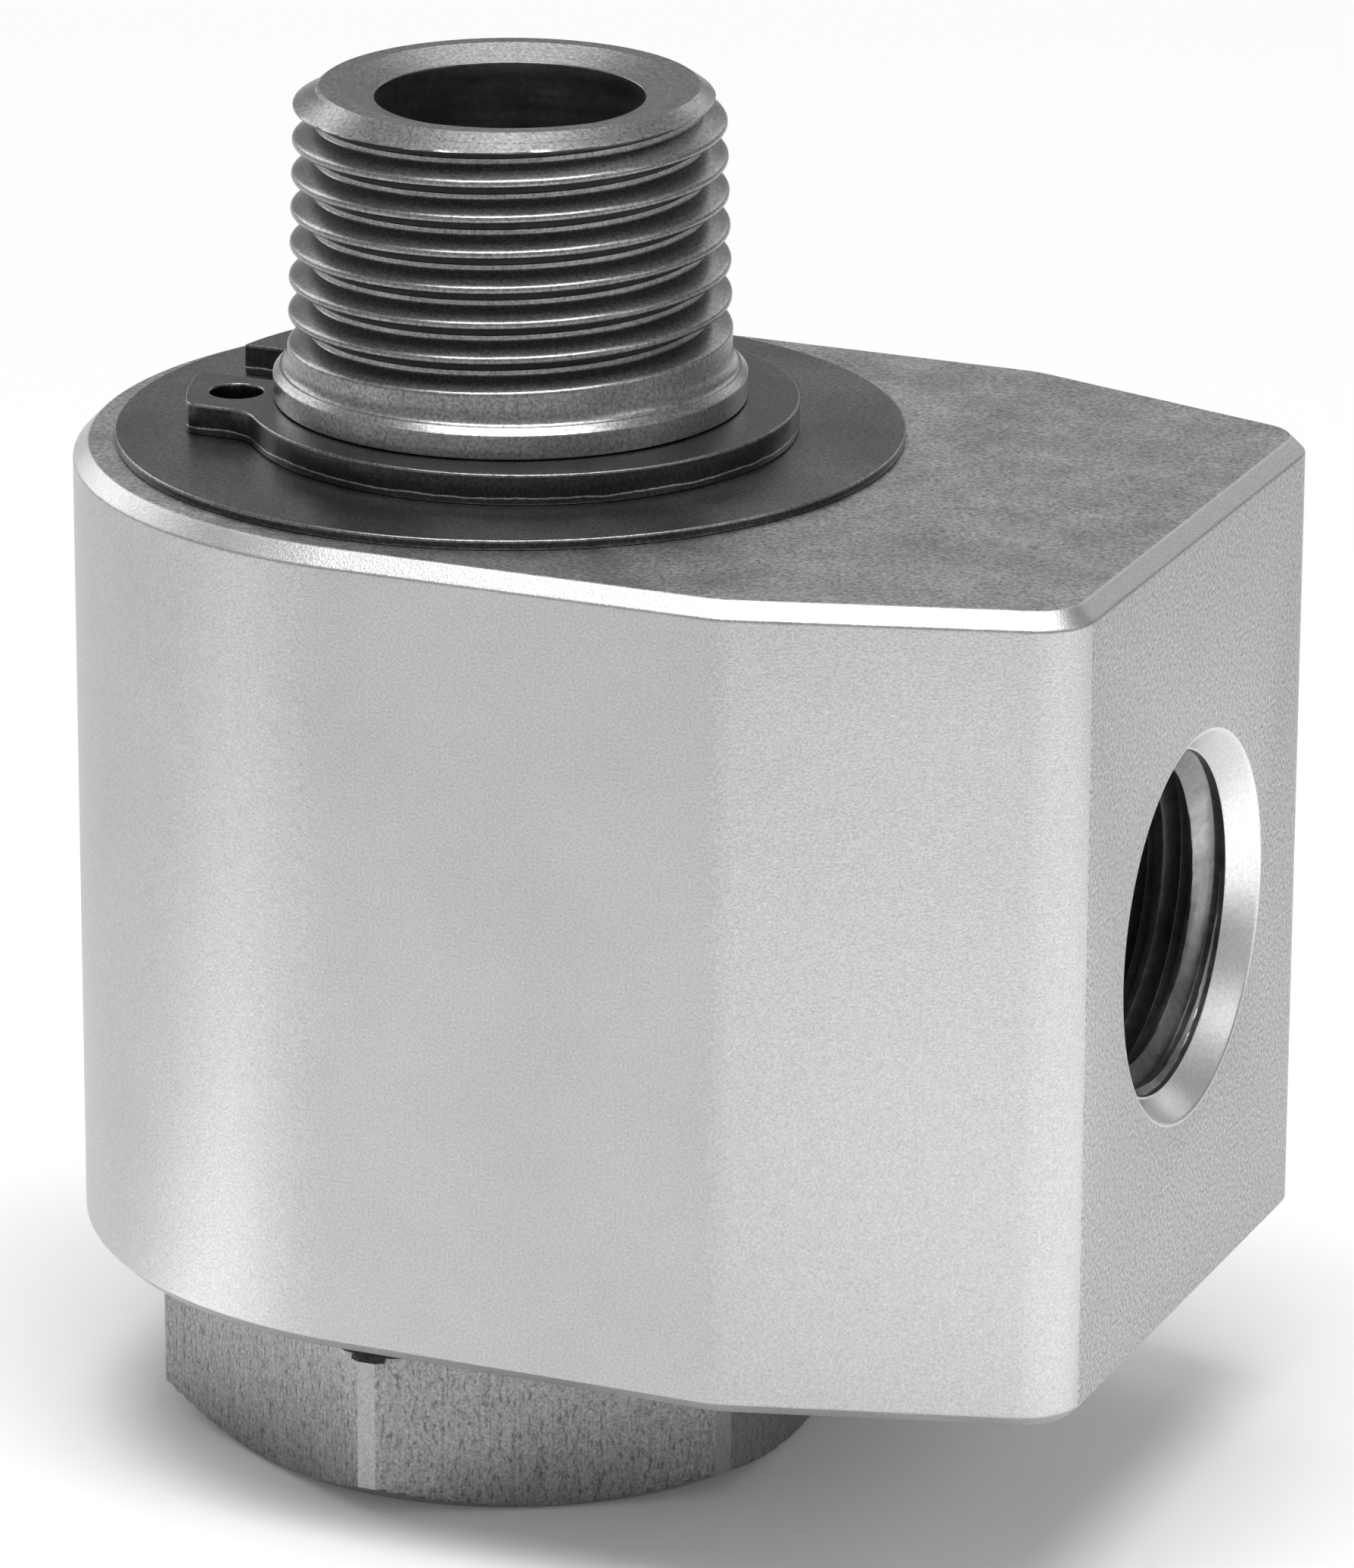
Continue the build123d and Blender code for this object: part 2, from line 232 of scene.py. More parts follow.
def lathe(
    name: str,
    profile: Callable[[float], list[Point]],
    angles: Sequence[float],
    axis: Matrix = UPRIGHT,
) -> bpy.types.Object:
    """Turn a section about an axis into a closed mesh.

    Args:
        name: The object's name.
        profile: Gives the (radius, height) points of the section at an angle
            from 0 to 360 inclusive, always the same number of them.
        angles: The angles of the columns, without 360.
        axis: Takes the turning axis, +Z, to its place, in millimetres.

    Returns:
        The object.
    """
    turn = [*angles, angles[0] + 360.0]
    columns = [profile(a) for a in turn]
    rows = len(columns[0])
    vertices = []
    for angle, column in zip(turn, columns):
        c, s = math.cos(math.radians(angle)), math.sin(math.radians(angle))
        vertices += [axis @ Vector((r * c, r * s, z)) for r, z in column]
    corners = [i * rows + k for i in range(len(angles)) for k in range(rows - 1)]
    faces = [(a, a + rows, a + rows + 1, a + 1) for a in corners]
    return mesh_object(name, vertices, faces)


def even_angles(count: int) -> list[float]:
    """Return this many angles round a full turn."""
    return [360.0 * i / count for i in range(count)]


def settle(body: bpy.types.Object) -> None:
    """Write an object's modifiers into its mesh.

    Args:
        body: The object.
    """
    bpy.context.view_layer.update()
    graph = bpy.context.evaluated_depsgraph_get()
    result = bpy.data.meshes.new_from_object(body.evaluated_get(graph))
    body.modifiers.clear()
    body.data = result


def cut(body: bpy.types.Object, *cutters: bpy.types.Object) -> None:
    """Take cutters out of a body, and delete them.

    Args:
        body: The object whose mesh is cut.
        cutters: Closed objects to take away.
    """
    for cutter in cutters:
        step = body.modifiers.new("cut", "BOOLEAN")
        step.operation, step.solver, step.object = "DIFFERENCE", "EXACT", cutter
        settle(body)
        bpy.data.objects.remove(cutter)


def smooth(body: bpy.types.Object) -> None:
    """Shade a mesh smooth, apart from its sharp edges."""
    body.data.shade_smooth()
    body.data.set_sharp_from_angle(angle=math.radians(SHARP_ANGLE))


def dress(
    body: bpy.types.Object,
    materials: Sequence[bpy.types.Material],
    choose: Callable[[Vector, Vector], int],
) -> None:
    """Give a mesh its materials, face by face.

    Args:
        body: The object.
        materials: Its materials, in slot order.
        choose: Gives the slot for a face from its centre in millimetres and
            its normal.
    """
    body.data.materials.clear()
    for material in materials:
        body.data.materials.append(material)
    for face in body.data.polygons:
        face.material_index = int(choose(face.center / MM, face.normal))


# ---- Finishes -----------------------------------------------------------


class Lay(Enum):
    """The way that a cutting or drawing tool left its marks."""

    NONE = "none"
    AROUND = "around"
    ALONG = "along"


@dataclass(frozen=True)
class Finish:
    """A surface made by a process whose traces show as grain and marks.

    The grain, clouds, marks and specks are patterns of a size in millimetres.
    Mottling, clouding, lining and speck_depth say how much each of them
    changes the colour, and the heights how deep it is.
    """

    name: str
    colour: str
    roughness: float
    metallic: float = 1.0
    ior: float = 1.45
    roughness_spread: float = 0.05
    grain: float = 0.14
    grain_height: float = 0.002
    mottling: float = 0.06
    cloud: float = 6.0
    clouding: float = 0.03
    lay: Lay = Lay.NONE
    mark: float = 0.12
    mark_height: float = 0.002
    mark_stretch: float = 0.02
    ring_drift: float = 1.0
    lining: float = 0.0
    speck: float = 0.12
    speck_depth: float = 0.0
    speck_share: float = 0.60
    speck_edge: float = 0.12
    speck_stretch: float = 0.35

    def vector(self, tree: Tree, size: float) -> Socket:
        """Give the object's own coordinates in units of a pattern's size.

        Args:
            tree: The material's tree.
            size: The pattern's size in millimetres.

        Returns:
            The vector socket.
        """
        place = add_node(tree, "ShaderNodeTexCoord").outputs["Object"]
        settings = {"operation": "SCALE", "Scale": 1 / (size * MM)}
        return add_node(tree, "ShaderNodeVectorMath", settings, {0: place}).outputs[0]

    def rings(self, tree: Tree, place: Socket) -> Socket:
        """Give coordinates that change fast outwards and up, slowly round the axis.

        Args:
            tree: The material's tree.
            place: The coordinates that they are made from.

        Returns:
            The vector socket.
        """
        settings = {"operation": "MULTIPLY", 1: (1, 1, 0)}
        flat = add_node(tree, "ShaderNodeVectorMath", settings, {0: place}).outputs[0]
        radius, spoke = (
            add_node(tree, "ShaderNodeVectorMath", {"operation": kind}, {0: flat}).outputs[out]
            for kind, out in (("LENGTH", "Value"), ("NORMALIZE", 0))
        )
        height = add_node(tree, "ShaderNodeSeparateXYZ", {}, {0: place}).outputs["Z"]
        turned = add_node(
            tree, "ShaderNodeCombineXYZ", {"Z": 0.0}, {"X": radius, "Y": height}
        ).outputs[0]
        settings = {"operation": "MULTIPLY_ADD", 1: (self.ring_drift,) * 3}
        return add_node(
            tree, "ShaderNodeVectorMath", settings, {0: spoke, 2: turned}
        ).outputs[0]

    def marks(self, tree: Tree) -> Socket:
        """Give the tool marks' height, from 0 to 1.

        Args:
            tree: The material's tree.

        Returns:
            The height socket.
        """
        place = self.vector(tree, self.mark)
        if self.lay is Lay.ALONG:
            settings = {"operation": "MULTIPLY", 1: (1, 1, self.mark_stretch)}
            drawn = add_node(tree, "ShaderNodeVectorMath", settings, {0: place}).outputs[0]
        else:
            drawn = self.rings(tree, place)
        settings = {"Scale": 1.0, "Detail": 3.0, "Roughness": 0.6}
        return add_node(tree, "ShaderNodeTexNoise", settings, {"Vector": drawn}).outputs[0]

    def specks(self, tree: Tree) -> Socket:
        """Give the pits' tone, 1 on sound metal and less in a pit.

        Args:
            tree: The material's tree.

        Returns:
            The tone socket.
        """
        stretch = self.speck_stretch if self.lay is Lay.ALONG else 1.0
        place = add_node(
            tree,
            "ShaderNodeVectorMath",
            {"operation": "MULTIPLY", 1: (1, 1, stretch)},
            {0: self.vector(tree, self.speck)},
        ).outputs[0]
        settings = {"Scale": 1.0, "Detail": 2.0, "Roughness": 0.55}
        noise = add_node(tree, "ShaderNodeTexNoise", settings, {"Vector": place}).outputs[0]
        settings = {
            "From Min": self.speck_share,
            "From Max": self.speck_share + self.speck_edge,
            "To Min": 1.0,
            "To Max": 1 - self.speck_depth,
        }
        return add_node(tree, "ShaderNodeMapRange", settings, {"Value": noise}).outputs[0]

    def tone(self, tree: Tree, grain: Socket, cloud: Socket, marks: Optional[Socket]) -> Socket:
        """Give how much lighter or darker than its colour the surface is.

        Args:
            tree: The material's tree.
            grain: The grain's height.
            cloud: The clouds' height.
            marks: The tool marks' height, where there are any.

        Returns:
            The tone socket, 1 where the colour stays as it is.
        """
        patterns = [(grain, 0.25, self.mottling), (cloud, 0.3, self.clouding)]
        if marks is not None and self.lining > 0:
            patterns.append((marks, 0.35, self.lining))
        tones = [
            add_node(
                tree,
                "ShaderNodeMapRange",
                {"From Min": low, "From Max": 1 - low, "To Min": 1 - depth, "To Max": 1 + depth},
                {"Value": height},
            ).outputs[0]
            for height, low, depth in patterns
        ]
        if self.speck_depth > 0:
            tones.append(self.specks(tree))
        product = tones[0]
        for other in tones[1:]:
            links = {0: product, 1: other}
            product = add_node(tree, "ShaderNodeMath", {"operation": "MULTIPLY"}, links).outputs[0]
        return product

    def make(self) -> bpy.types.Material:
        """Build the material.

        Returns:
            The material.
        """
        material = bpy.data.materials.new(self.name)
        material.use_nodes = True
        tree = material.node_tree
        shader = tree.nodes["Principled BSDF"]
        shader.inputs["Metallic"].default_value = self.metallic
        # A metal keeps the default IOR.
        if self.metallic == 0:
            shader.inputs["IOR"].default_value = self.ior
        grain, cloud = (
            add_node(
                tree,
                "ShaderNodeTexNoise",
                {"Scale": 1.0, "Detail": detail, "Roughness": roughness},
                {"Vector": self.vector(tree, size)},
            ).outputs[0]
            for size, detail, roughness in ((self.grain, 3.0, 0.65), (self.cloud, 4.0, 0.6))
        )
        marks = None if self.lay is Lay.NONE else self.marks(tree)
        settings = {"operation": "SCALE", 0: linear(self.colour)[:3]}
        links = {"Scale": self.tone(tree, grain, cloud, marks)}
        colour = add_node(tree, "ShaderNodeVectorMath", settings, links).outputs[0]
        tree.links.new(colour, shader.inputs["Base Color"])
        settings = {
            "From Min": 0.3,
            "From Max": 0.7,
            "To Min": self.roughness - self.roughness_spread,
            "To Max": self.roughness + self.roughness_spread,
        }
        links = {"Value": cloud if marks is None else marks}
        rough = add_node(tree, "ShaderNodeMapRange", settings, links).outputs[0]
        tree.links.new(rough, shader.inputs["Roughness"])
        settings = {"Strength": 1.0, "Distance": self.grain_height * MM}
        normal = add_node(tree, "ShaderNodeBump", settings, {"Height": grain}).outputs[0]
        if marks is not None:
            settings = {"Strength": 1.0, "Distance": self.mark_height * MM}
            links = {"Height": marks, "Normal": normal}
            normal = add_node(tree, "ShaderNodeBump", settings, links).outputs[0]
        tree.links.new(normal, shader.inputs["Normal"])
        return material


# Bead-blasted stainless steel: a pale satin grey with a fine even grain. The
# dimples of glass beads are about 0.05 mm; they are drawn at 0.10 mm to show.
BLASTED_STEEL = Finish(
    "bead_blasted_stainless_steel", "BABABA", 0.40, grain=0.10, grain_height=0.014,
    mottling=0.22, clouding=0.06,
)
# The faces that were milled before blasting, taken as the top face and the +X
# end face: a coarser, livelier speckle over faint clouds, in a darker colour
# that is painted shade. Their 0.05 mm cutter marks are drawn at 0.15 mm to show.
MILLED_BLASTED_PAINTED_SHADE_STEEL = Finish(
    "milled_blasted_steel_painted_shade", "ABABAB", 0.42, grain=0.15, grain_height=0.020,
    mottling=0.62, clouding=0.06, cloud=3.0,
)
# Milled stainless steel: brighter and smoother, in the bore and the port's
# mouth. Its 0.05 mm cutter marks are drawn at 0.12 mm to show.
MILLED_STEEL = Finish(
    "milled_stainless_steel", "D2D2D2", 0.36, grain=0.12, grain_height=0.006,
    mottling=0.16, clouding=0.05,
)
# Turned and tumbled stainless steel, faintly oxidised: a darker, partly matt
# grey, with faint rings at the lathe tool's feed of 0.1 mm and small pits. The
# oxide's grain is finer than it shows, so it is drawn at 0.13 mm.
TURNED_STEEL = Finish(
    "turned_oxidised_stainless_steel", "8A8A8A", 0.30, metallic=0.85, grain=0.13,
    grain_height=0.003, mottling=0.60, lay=Lay.AROUND, mark=0.10, mark_height=0.0012,
    speck_depth=0.35, speck_share=0.62,
)
# The same steel, painted nearly black as shade on the faces that look down
# under the thread's crests: a nearly black grey with the same grain.
PAINTED_SHADE_THREAD_STEEL = Finish(
    "painted_shade_thread_underside", "3A3A3A", 0.40, metallic=0.85, grain=0.13,
    grain_height=0.006, mottling=0.60,
)
# Cold-drawn stainless bar: fine lines and short pits along the bar. The die's
# lines are about 0.05 mm apart; they are drawn at 0.14 mm to show.
DRAWN_STEEL = Finish(
    "cold_drawn_stainless_bar", "949494", 0.38, grain=0.12, grain_height=0.014,
    mottling=0.46, lay=Lay.ALONG, mark=0.14, mark_height=0.020, mark_stretch=0.04,
    lining=0.12, speck=0.14, speck_depth=0.42, speck_share=0.54,
)
# The bar's corners, turned back to a round: smoother and lighter than the
# flats, with the same grain of 0.12 mm but half as strong.
BURNISHED_STEEL = Finish(
    "burnished_bar_corner", "A0A0A0", 0.30, grain=0.12, grain_height=0.006,
    mottling=0.24,
)
# Phosphated spring steel: a dark matt grey with a fine speckle. The crystals
# are about 0.02 mm; they are drawn at 0.13 mm to show.
SPRING_STEEL = Finish(
    "phosphated_spring_steel", "777777", 0.30, grain=0.13, grain_height=0.006,
    mottling=0.55, clouding=0.10, speck_depth=0.3, speck_share=0.60,
)
# Blued hardened strip: a dark smooth grey with clouds, as rolled. The rolled
# grain is about 0.05 mm; it is drawn at 0.14 mm to show.
STRIP_STEEL = Finish(
    "blued_hardened_strip", "808080", 0.30, grain=0.14, grain_height=0.006,
    mottling=0.62, clouding=0.16, speck_depth=0.35, speck_share=0.60,
)
# Drilled steel: dark rings in a passage that light hardly enters. A drill's
# feed is about 0.15 mm; its rings are drawn at 0.5 mm to show in the dark.
DRILLED_STEEL = Finish(
    "drilled_stainless_steel", "848484", 0.34, grain=0.3, grain_height=0.004,
    mottling=0.20, lay=Lay.AROUND, mark=0.5, mark_height=0.008, cloud=2.0, clouding=0.30,
)
# Pressed zinc-plated steel: thin, bright and slightly uneven, over 0.4 mm.
PLATED_STEEL = Finish("zinc_plated_pressed_steel", "B4B6B8", 0.32, grain=0.4)
# Nitrile rubber: moulded, black and matt, with the mould's grain of 0.2 mm.
NITRILE = Finish(
    "moulded_nitrile_rubber", "1B1B1C", 0.55, metallic=0.0, grain=0.2, ior=1.52,
)
# Bearing bronze: turned, a warm reddish yellow, with rings at a feed of 0.12 mm.
BRONZE = Finish(
    "turned_bearing_bronze", "B08550", 0.30, grain=0.2, lay=Lay.AROUND, mark=0.12,
)
# Filled acetal: turned, off-white and slightly waxy, with a grain of 0.2 mm.
ACETAL = Finish("turned_acetal", "D9D6CC", 0.40, metallic=0.0, grain=0.2, ior=1.48)
# Cast polyurethane: amber, with a satin skin that is uneven over 0.3 mm.
URETHANE = Finish("cast_polyurethane", "A8772E", 0.38, metallic=0.0, grain=0.3, ior=1.5)


@dataclass(frozen=True)
class BlankedFinish:
    """A finish on blanked strip, whose cut edge has a torn and a sheared band.

    The line between the bands, with its burr, lies at torn_share of the
    way from the foot to the head and wanders up and down a little. Both bands are
    painted darker as shade, and the burr's tone is a painted highlight above 1 and
    painted shade below 1.
    """

    base: Finish
    foot: float
    head: float
    burr_painted_light: float
    # Painted shade on the cut edge's sheared and torn bands.
    sheared_painted_shade: float = 0.26
    torn_painted_shade: float = 0.40
    torn_share: float = 0.24
    burr: float = 0.09
    wander: float = 0.08
    wander_length: float = 1.2
    round_foot: float = 0.12
    round_head: float = 0.09

    @property
    def name(self) -> str:
        """Give the material's name."""
        return self.base.name

    def bands(self, tree: Tree, height: Socket) -> Socket:
        """Give the cut edge's painted shade at a height: torn, then burred, then sheared; the
        burr's tone is painted too.

        Args:
            tree: The material's tree.
            height: The height in metres.

        Returns:
            The tone, as a colour socket.
        """
        links = {"Vector": self.base.vector(tree, self.wander_length)}
        noise = add_node(
            tree, "ShaderNodeTexNoise", {"Scale": 1.0, "Detail": 2.0}, links
        ).outputs[0]
        drift = {1: 2 * self.wander * MM, 2: -self.wander * MM}
        off = add_node(
            tree, "ShaderNodeMath", {"operation": "MULTIPLY_ADD", **drift}, {0: noise}
        ).outputs[0]
        level = add_node(
            tree, "ShaderNodeMath", {"operation": "ADD"}, {0: height, 1: off}
        ).outputs[0]
        line = (self.foot + (self.head - self.foot) * self.torn_share) * MM
        reach = 2 * self.burr * MM
        ends = {"From Min": line - reach, "From Max": line + reach}
        share = add_node(tree, "ShaderNodeMapRange", ends, {"Value": level}).outputs[0]
        band = add_node(tree, "ShaderNodeValToRGB", {}, {"Fac": share})
        # Painted shade on the torn and sheared bands, and the burr's painted tone between them.
        stops = [
            (0.0, self.torn_painted_shade),
            (0.35, self.torn_painted_shade),
            (0.5, self.burr_painted_light),
            (0.62, self.sheared_painted_shade),
        ]
        elements = band.color_ramp.elements
        while len(elements) < len(stops):
            elements.new(1.0)
        for element, (position, tone) in zip(elements, stops):
            element.position = position
            element.color = (tone, tone, tone, 1)
        return band.outputs[0]

    def make(self) -> bpy.types.Material:
        """Build the material, with its painted shade bands below the head's rounded edge.

        Returns:
            The material.
        """
        material = self.base.make()
        tree = material.node_tree
        colour = tree.nodes["Principled BSDF"].inputs["Base Color"]
        base = colour.links[0].from_socket
        place = add_node(tree, "ShaderNodeTexCoord").outputs["Object"]
        height = add_node(tree, "ShaderNodeSeparateXYZ", {}, {0: place}).outputs["Z"]
        # Below the head's round, the colour takes the cut edge's painted shade.
        settings = {
            "From Min": (self.head - self.round_foot) * MM,
            "From Max": (self.head - self.round_head) * MM,
            "To Min": 1.0,
            "To Max": 0.0,
        }
        painted_edge_mask = add_node(
            tree, "ShaderNodeMapRange", settings, {"Value": height}
        ).outputs[0]
        links = {0: base, 1: self.bands(tree, height)}
        painted_edge_colour = add_node(
            tree, "ShaderNodeVectorMath", {"operation": "MULTIPLY"}, links
        ).outputs[0]
        links = {0: painted_edge_mask, 4: base, 5: painted_edge_colour}
        mixed = add_node(tree, "ShaderNodeMix", {"data_type": "VECTOR"}, links).outputs[1]
        tree.links.new(mixed, colour)
        return material


def material_for(finish: Finish | BlankedFinish) -> bpy.types.Material:
    """Give a finish's material, built at its first use."""
    return bpy.data.materials.get(finish.name) or finish.make()


# ---- Pipe threads -------------------------------------------------------


@dataclass(frozen=True)
class PipeThread:
    """A parallel or tapered pipe thread of 19 turns to the inch.

    The depth is from crest to root before they are rounded, and the taper is
    the radius gained for each millimetre of length.
    """

    pitch: float = 1.337
    flank_angle: float = 27.5
    crest_radius: float = 0.184
    root_radius: float = 0.035
    depth: float = 0.856
    taper: float = 1 / 32
    samples: int = 32
    round_steps: int = 8
    support: float = 0.02

    def section(self) -> list[Point]:
        """Give one turn's section.

        Returns:
            (share of the pitch, depth below the crest) points from crest to
            crest.
        """
        half = self.pitch / 2
        flank = self.depth * math.tan(math.radians(self.flank_angle))
        flat = max((half - flank) * 0.5, 0.0)
        corners = [
            (-flat, 0.0),
            (flat, 0.0),
            (half - flat, self.depth),
            (half + flat, self.depth),
            (self.pitch - flat, 0.0),
            (self.pitch + flat, 0.0),
        ]
        crest, root = self.crest_radius, self.root_radius
        line = soften(corners, [crest, root, root, crest], self.round_steps, self.support)
        points = []
        for i in range(self.samples + 1):
            at = self.pitch * i / self.samples
            for (x0, y0), (x1, y1) in zip(line, line[1:]):
                if x0 <= at <= x1 and x1 > x0:
                    depth = y0 + (y1 - y0) * (at - x0) / (x1 - x0)
                    points.append((i / self.samples, depth))
                    break
        return points


# ---- The shaft ----------------------------------------------------------


class ShaftSlot(IntEnum):
    """The shaft's materials, in slot order."""

    TURNED = 0
    DRAWN = 1
    DRILLED = 2
    BURNISHED = 3
    STAINED = 4


SHAFT_FINISHES = {
    ShaftSlot.TURNED: TURNED_STEEL,
    ShaftSlot.DRAWN: DRAWN_STEEL,
    ShaftSlot.DRILLED: DRILLED_STEEL,
    ShaftSlot.BURNISHED: BURNISHED_STEEL,
    ShaftSlot.STAINED: PAINTED_SHADE_THREAD_STEEL,
}


@dataclass
class ShaftDressing:
    """The hollow shaft with its hexagon, ring groove and tapered thread.

    The thread's crest passes phase_angle at the height thread_phase. Its turns
    fade in over fade_turn of a pitch above thread_end, where the tool ran out.
    """

    top: float
    hex_height: float = 7.4
    flats: float = 24.0
    corner_d: float = 27.3
    face_d: float = 23.4
    chamfer_angle: float = 30.0
    chamfer_rows: tuple[float, ...] = (
        0.0, 0.06, 0.12, 0.18, 0.26, 0.36, 0.48, 0.62, 0.78, 0.95, 1.126, 1.3,
    )
    flat_rows: int = 6
    journal_r: float = 9.0
    shoulder: float = 0.4
    groove_r: float = 8.5
    groove_height: float = 1.3
    groove_drop: float = 13.3
    groove_edge: float = 0.05
    collar_length: float = 0.9
    collar_bevel: float = 0.25
    run_out_height: float = 0.7
    neck_steps: int = 8
    chamfer: float = 0.65
    rim_r: float = 7.15
    mouth_r: float = 6.5
    mouth_depth: float = 0.43
    mouth_edge: float = 0.06
    passage_r: float = 5.1
    drill_half_angle: float = 59.0
    cross_hole_r: float = 2.5
    cross_hole_z: float = 23.3
    cross_hole_columns: int = 48
    overshoot: float = 1.8
    thread_top_r: float = 8.131
    thread_phase: float = 50.80
    phase_angle: float = 202.9
    thread_end: float = 42.75
    fade_turn: float = 0.35
    columns: int = 240
    column_gap: float = 0.4
    # On the thread, faces whose normal points further down than this take the painted shade.
    painted_shade_facing: float = -0.45
    turned_facing: float = 0.7
    margin: float = 0.05
    thread: PipeThread = field(default_factory=PipeThread)

    @property
    def bevel_z(self) -> float:
        """Give the height where the collar's bevel begins."""
        return self.top - self.groove_drop + self.groove_height + self.collar_length

    @property
    def neck_z(self) -> float:
        """Give the height where the collar's bevel ends and the neck begins."""
        return self.bevel_z + self.collar_bevel

    @property
    def corner_angle(self) -> float:
        """Give the angle from the middle of a flat to its end."""
        return math.degrees(math.acos(self.flats / self.corner_d))

    def angles(self) -> list[float]:
        """Give the columns' angles, with one at each side of a hexagon's corner.

        Returns:
            The angles in rising order.
        """
        corners = [SIDE_ANGLE * (i + 0.5) for i in range(6)]
        rounded = SIDE_ANGLE / 2 - self.corner_angle
        edges = [corner + side * rounded for corner in corners for side in (-1, 1)]
        spread = [
            angle
            for angle in even_angles(self.columns)
            if all(abs(angle - edge) > self.column_gap for edge in edges)
        ]
        return sorted(spread + edges)

    def hex_radius(self, angle: float, height: float) -> float:
        """Give the hexagon's radius.

        Args:
            angle: The column's angle.
            height: The height above the hexagon's lower face.

        Returns:
            The least of its flat, its turned corner and its two chamfers.
        """
        off = (angle + SIDE_ANGLE / 2) % SIDE_ANGLE - SIDE_ANGLE / 2
        flat = self.flats / 2 / math.cos(math.radians(off))
        rise = 1 / math.tan(math.radians(self.chamfer_angle))
        lower = self.face_d / 2 + height * rise
        upper = self.face_d / 2 + (self.hex_height - height) * rise
        return min(flat, self.corner_d / 2, lower, upper)

    def crest(self, z: float) -> float:
        """Give the thread's crest radius at a height."""
        return self.thread_top_r + (self.top - z) * self.thread.taper

    def blank(self, z: float) -> float:
        """Give the radius of the blank over the threaded length."""
        slope = (self.thread_top_r - self.rim_r) / self.chamfer
        return min(self.crest(z), self.rim_r + (self.top - z) * slope)

    def hexagon(self, angle: float) -> list[Point]:
        """Give the hexagon's part of the section.

        Args:
            angle: The column's angle.

        Returns:
            Points from the lower face's centre up to the top face.
        """
        span = self.chamfer_rows[-1]
        step = (self.hex_height - 2 * span) / self.flat_rows
        heights = list(self.chamfer_rows)
        heights += [span + step * i for i in range(1, self.flat_rows)]
        heights += [self.hex_height - h for h in reversed(self.chamfer_rows)]
        return [(0.0, 0.0)] + [(self.hex_radius(angle, h), h) for h in heights]

    def journal(self) -> list[Point]:
        """Give the section of the journal, the ring groove and the collar.

        Returns:
            Points from the hexagon's top face up to the neck.
        """
        groove_foot = self.top - self.groove_drop
        groove_head = groove_foot + self.groove_height
        corners = [
            (self.journal_r + self.shoulder, self.hex_height),
            (self.journal_r, self.hex_height),
            (self.journal_r, groove_foot),
            (self.groove_r, groove_foot),
            (self.groove_r, groove_head),
            (self.journal_r, groove_head),
            (self.journal_r, self.bevel_z),
            (self.journal_r - self.collar_bevel, self.neck_z),
        ]
        return soften(corners, self.groove_edge)

    def neck(self) -> list[Point]:
        """Give the hollow round that leads from the collar into the thread.

        Returns:
            Points between its ends.
        """
        foot = self.journal_r - self.collar_bevel
        head = self.crest(self.neck_z + self.run_out_height)
        points = []
        for i in range(1, self.neck_steps):
            turn = i / self.neck_steps * math.pi / 2
            rise = self.run_out_height * (1 - math.cos(turn))
            points.append((foot + (head - foot) * math.sin(turn), self.neck_z + rise))
        return points

    def thread_points(self, angle: float) -> list[Point]:
        """Give the threaded part of the section.

        Args:
            angle: The column's angle, up to 360.

        Returns:
            Points from the neck to the rim.
        """
        pitch, section = self.thread.pitch, self.thread.section()
        start = self.neck_z + self.run_out_height
        shift = self.thread_phase + pitch * (angle - self.phase_angle) / 360
        first = -math.ceil((self.thread_phase + pitch - start) / pitch) - 1
        last = math.ceil((self.top - self.thread_phase) / pitch) + 2
        points = []
        for turn in range(first, last):
            groove = shift + pitch * (turn + 0.5)
            fade = (groove - self.thread_end) / (pitch * self.fade_turn)
            fade = min(max(fade, 0.0), 1.0)
            for share, depth in section[:-1]:
                z = min(max(shift + pitch * (turn + share), start), self.top)
                points.append((min(self.crest(z) - depth * fade, self.blank(z)), z))
        return points

    def inside(self) -> list[Point]:
        """Give the section of the rim, the mouth, the passage and its end.

        Returns:
            Points from the rim down to the drill point.
        """
        foot = self.cross_hole_z - 2 * self.cross_hole_r
        point = self.passage_r / math.tan(math.radians(self.drill_half_angle))
        corners = [
            (self.rim_r, self.top),
            (self.mouth_r, self.top),
            (self.passage_r, self.top - self.mouth_depth),
            (self.passage_r, foot),
            (0.0, foot - point),
        ]
        return soften(corners, self.mouth_edge)

    def profile(self, angle: float) -> list[Point]:
        """Give the shaft's whole section.

        Args:
            angle: The column's angle.

        Returns:
            Points from the lower face's centre round to the drill point.
        """
        outside = self.hexagon(angle) + self.journal() + self.neck()
        return outside + self.thread_points(angle) + self.inside()

    def cross_hole(self, turn: float) -> bpy.types.Object:
        """Build the cutter for a hole right through the shaft.

        Args:
            turn: Its angle round the shaft, from +X.

        Returns:
            The cutter.
        """
        place = (
            Matrix.Translation((0, 0, self.cross_hole_z))
            @ Matrix.Rotation(math.radians(turn), 4, "Z")
            @ Matrix.Rotation(math.radians(90), 4, "Y")
        )
        reach, r = self.journal_r + self.overshoot, self.cross_hole_r
        line = [(0.0, -reach), (r, -reach), (r, reach), (0.0, reach)]
        columns = even_angles(self.cross_hole_columns)
        return lathe("cross_hole", lambda _: line, columns, place)

    def slot_for(self, centre: Vector, normal: Vector) -> ShaftSlot:
        """Choose the slot for a face.

        Args:
            centre: The face's centre.
            normal: The face's normal.

        Returns:
            The slot.
        """
        radius = math.hypot(centre.x, centre.y)
        threaded = self.thread_end < centre.z < self.top - self.chamfer
        if threaded and radius > self.mouth_r:
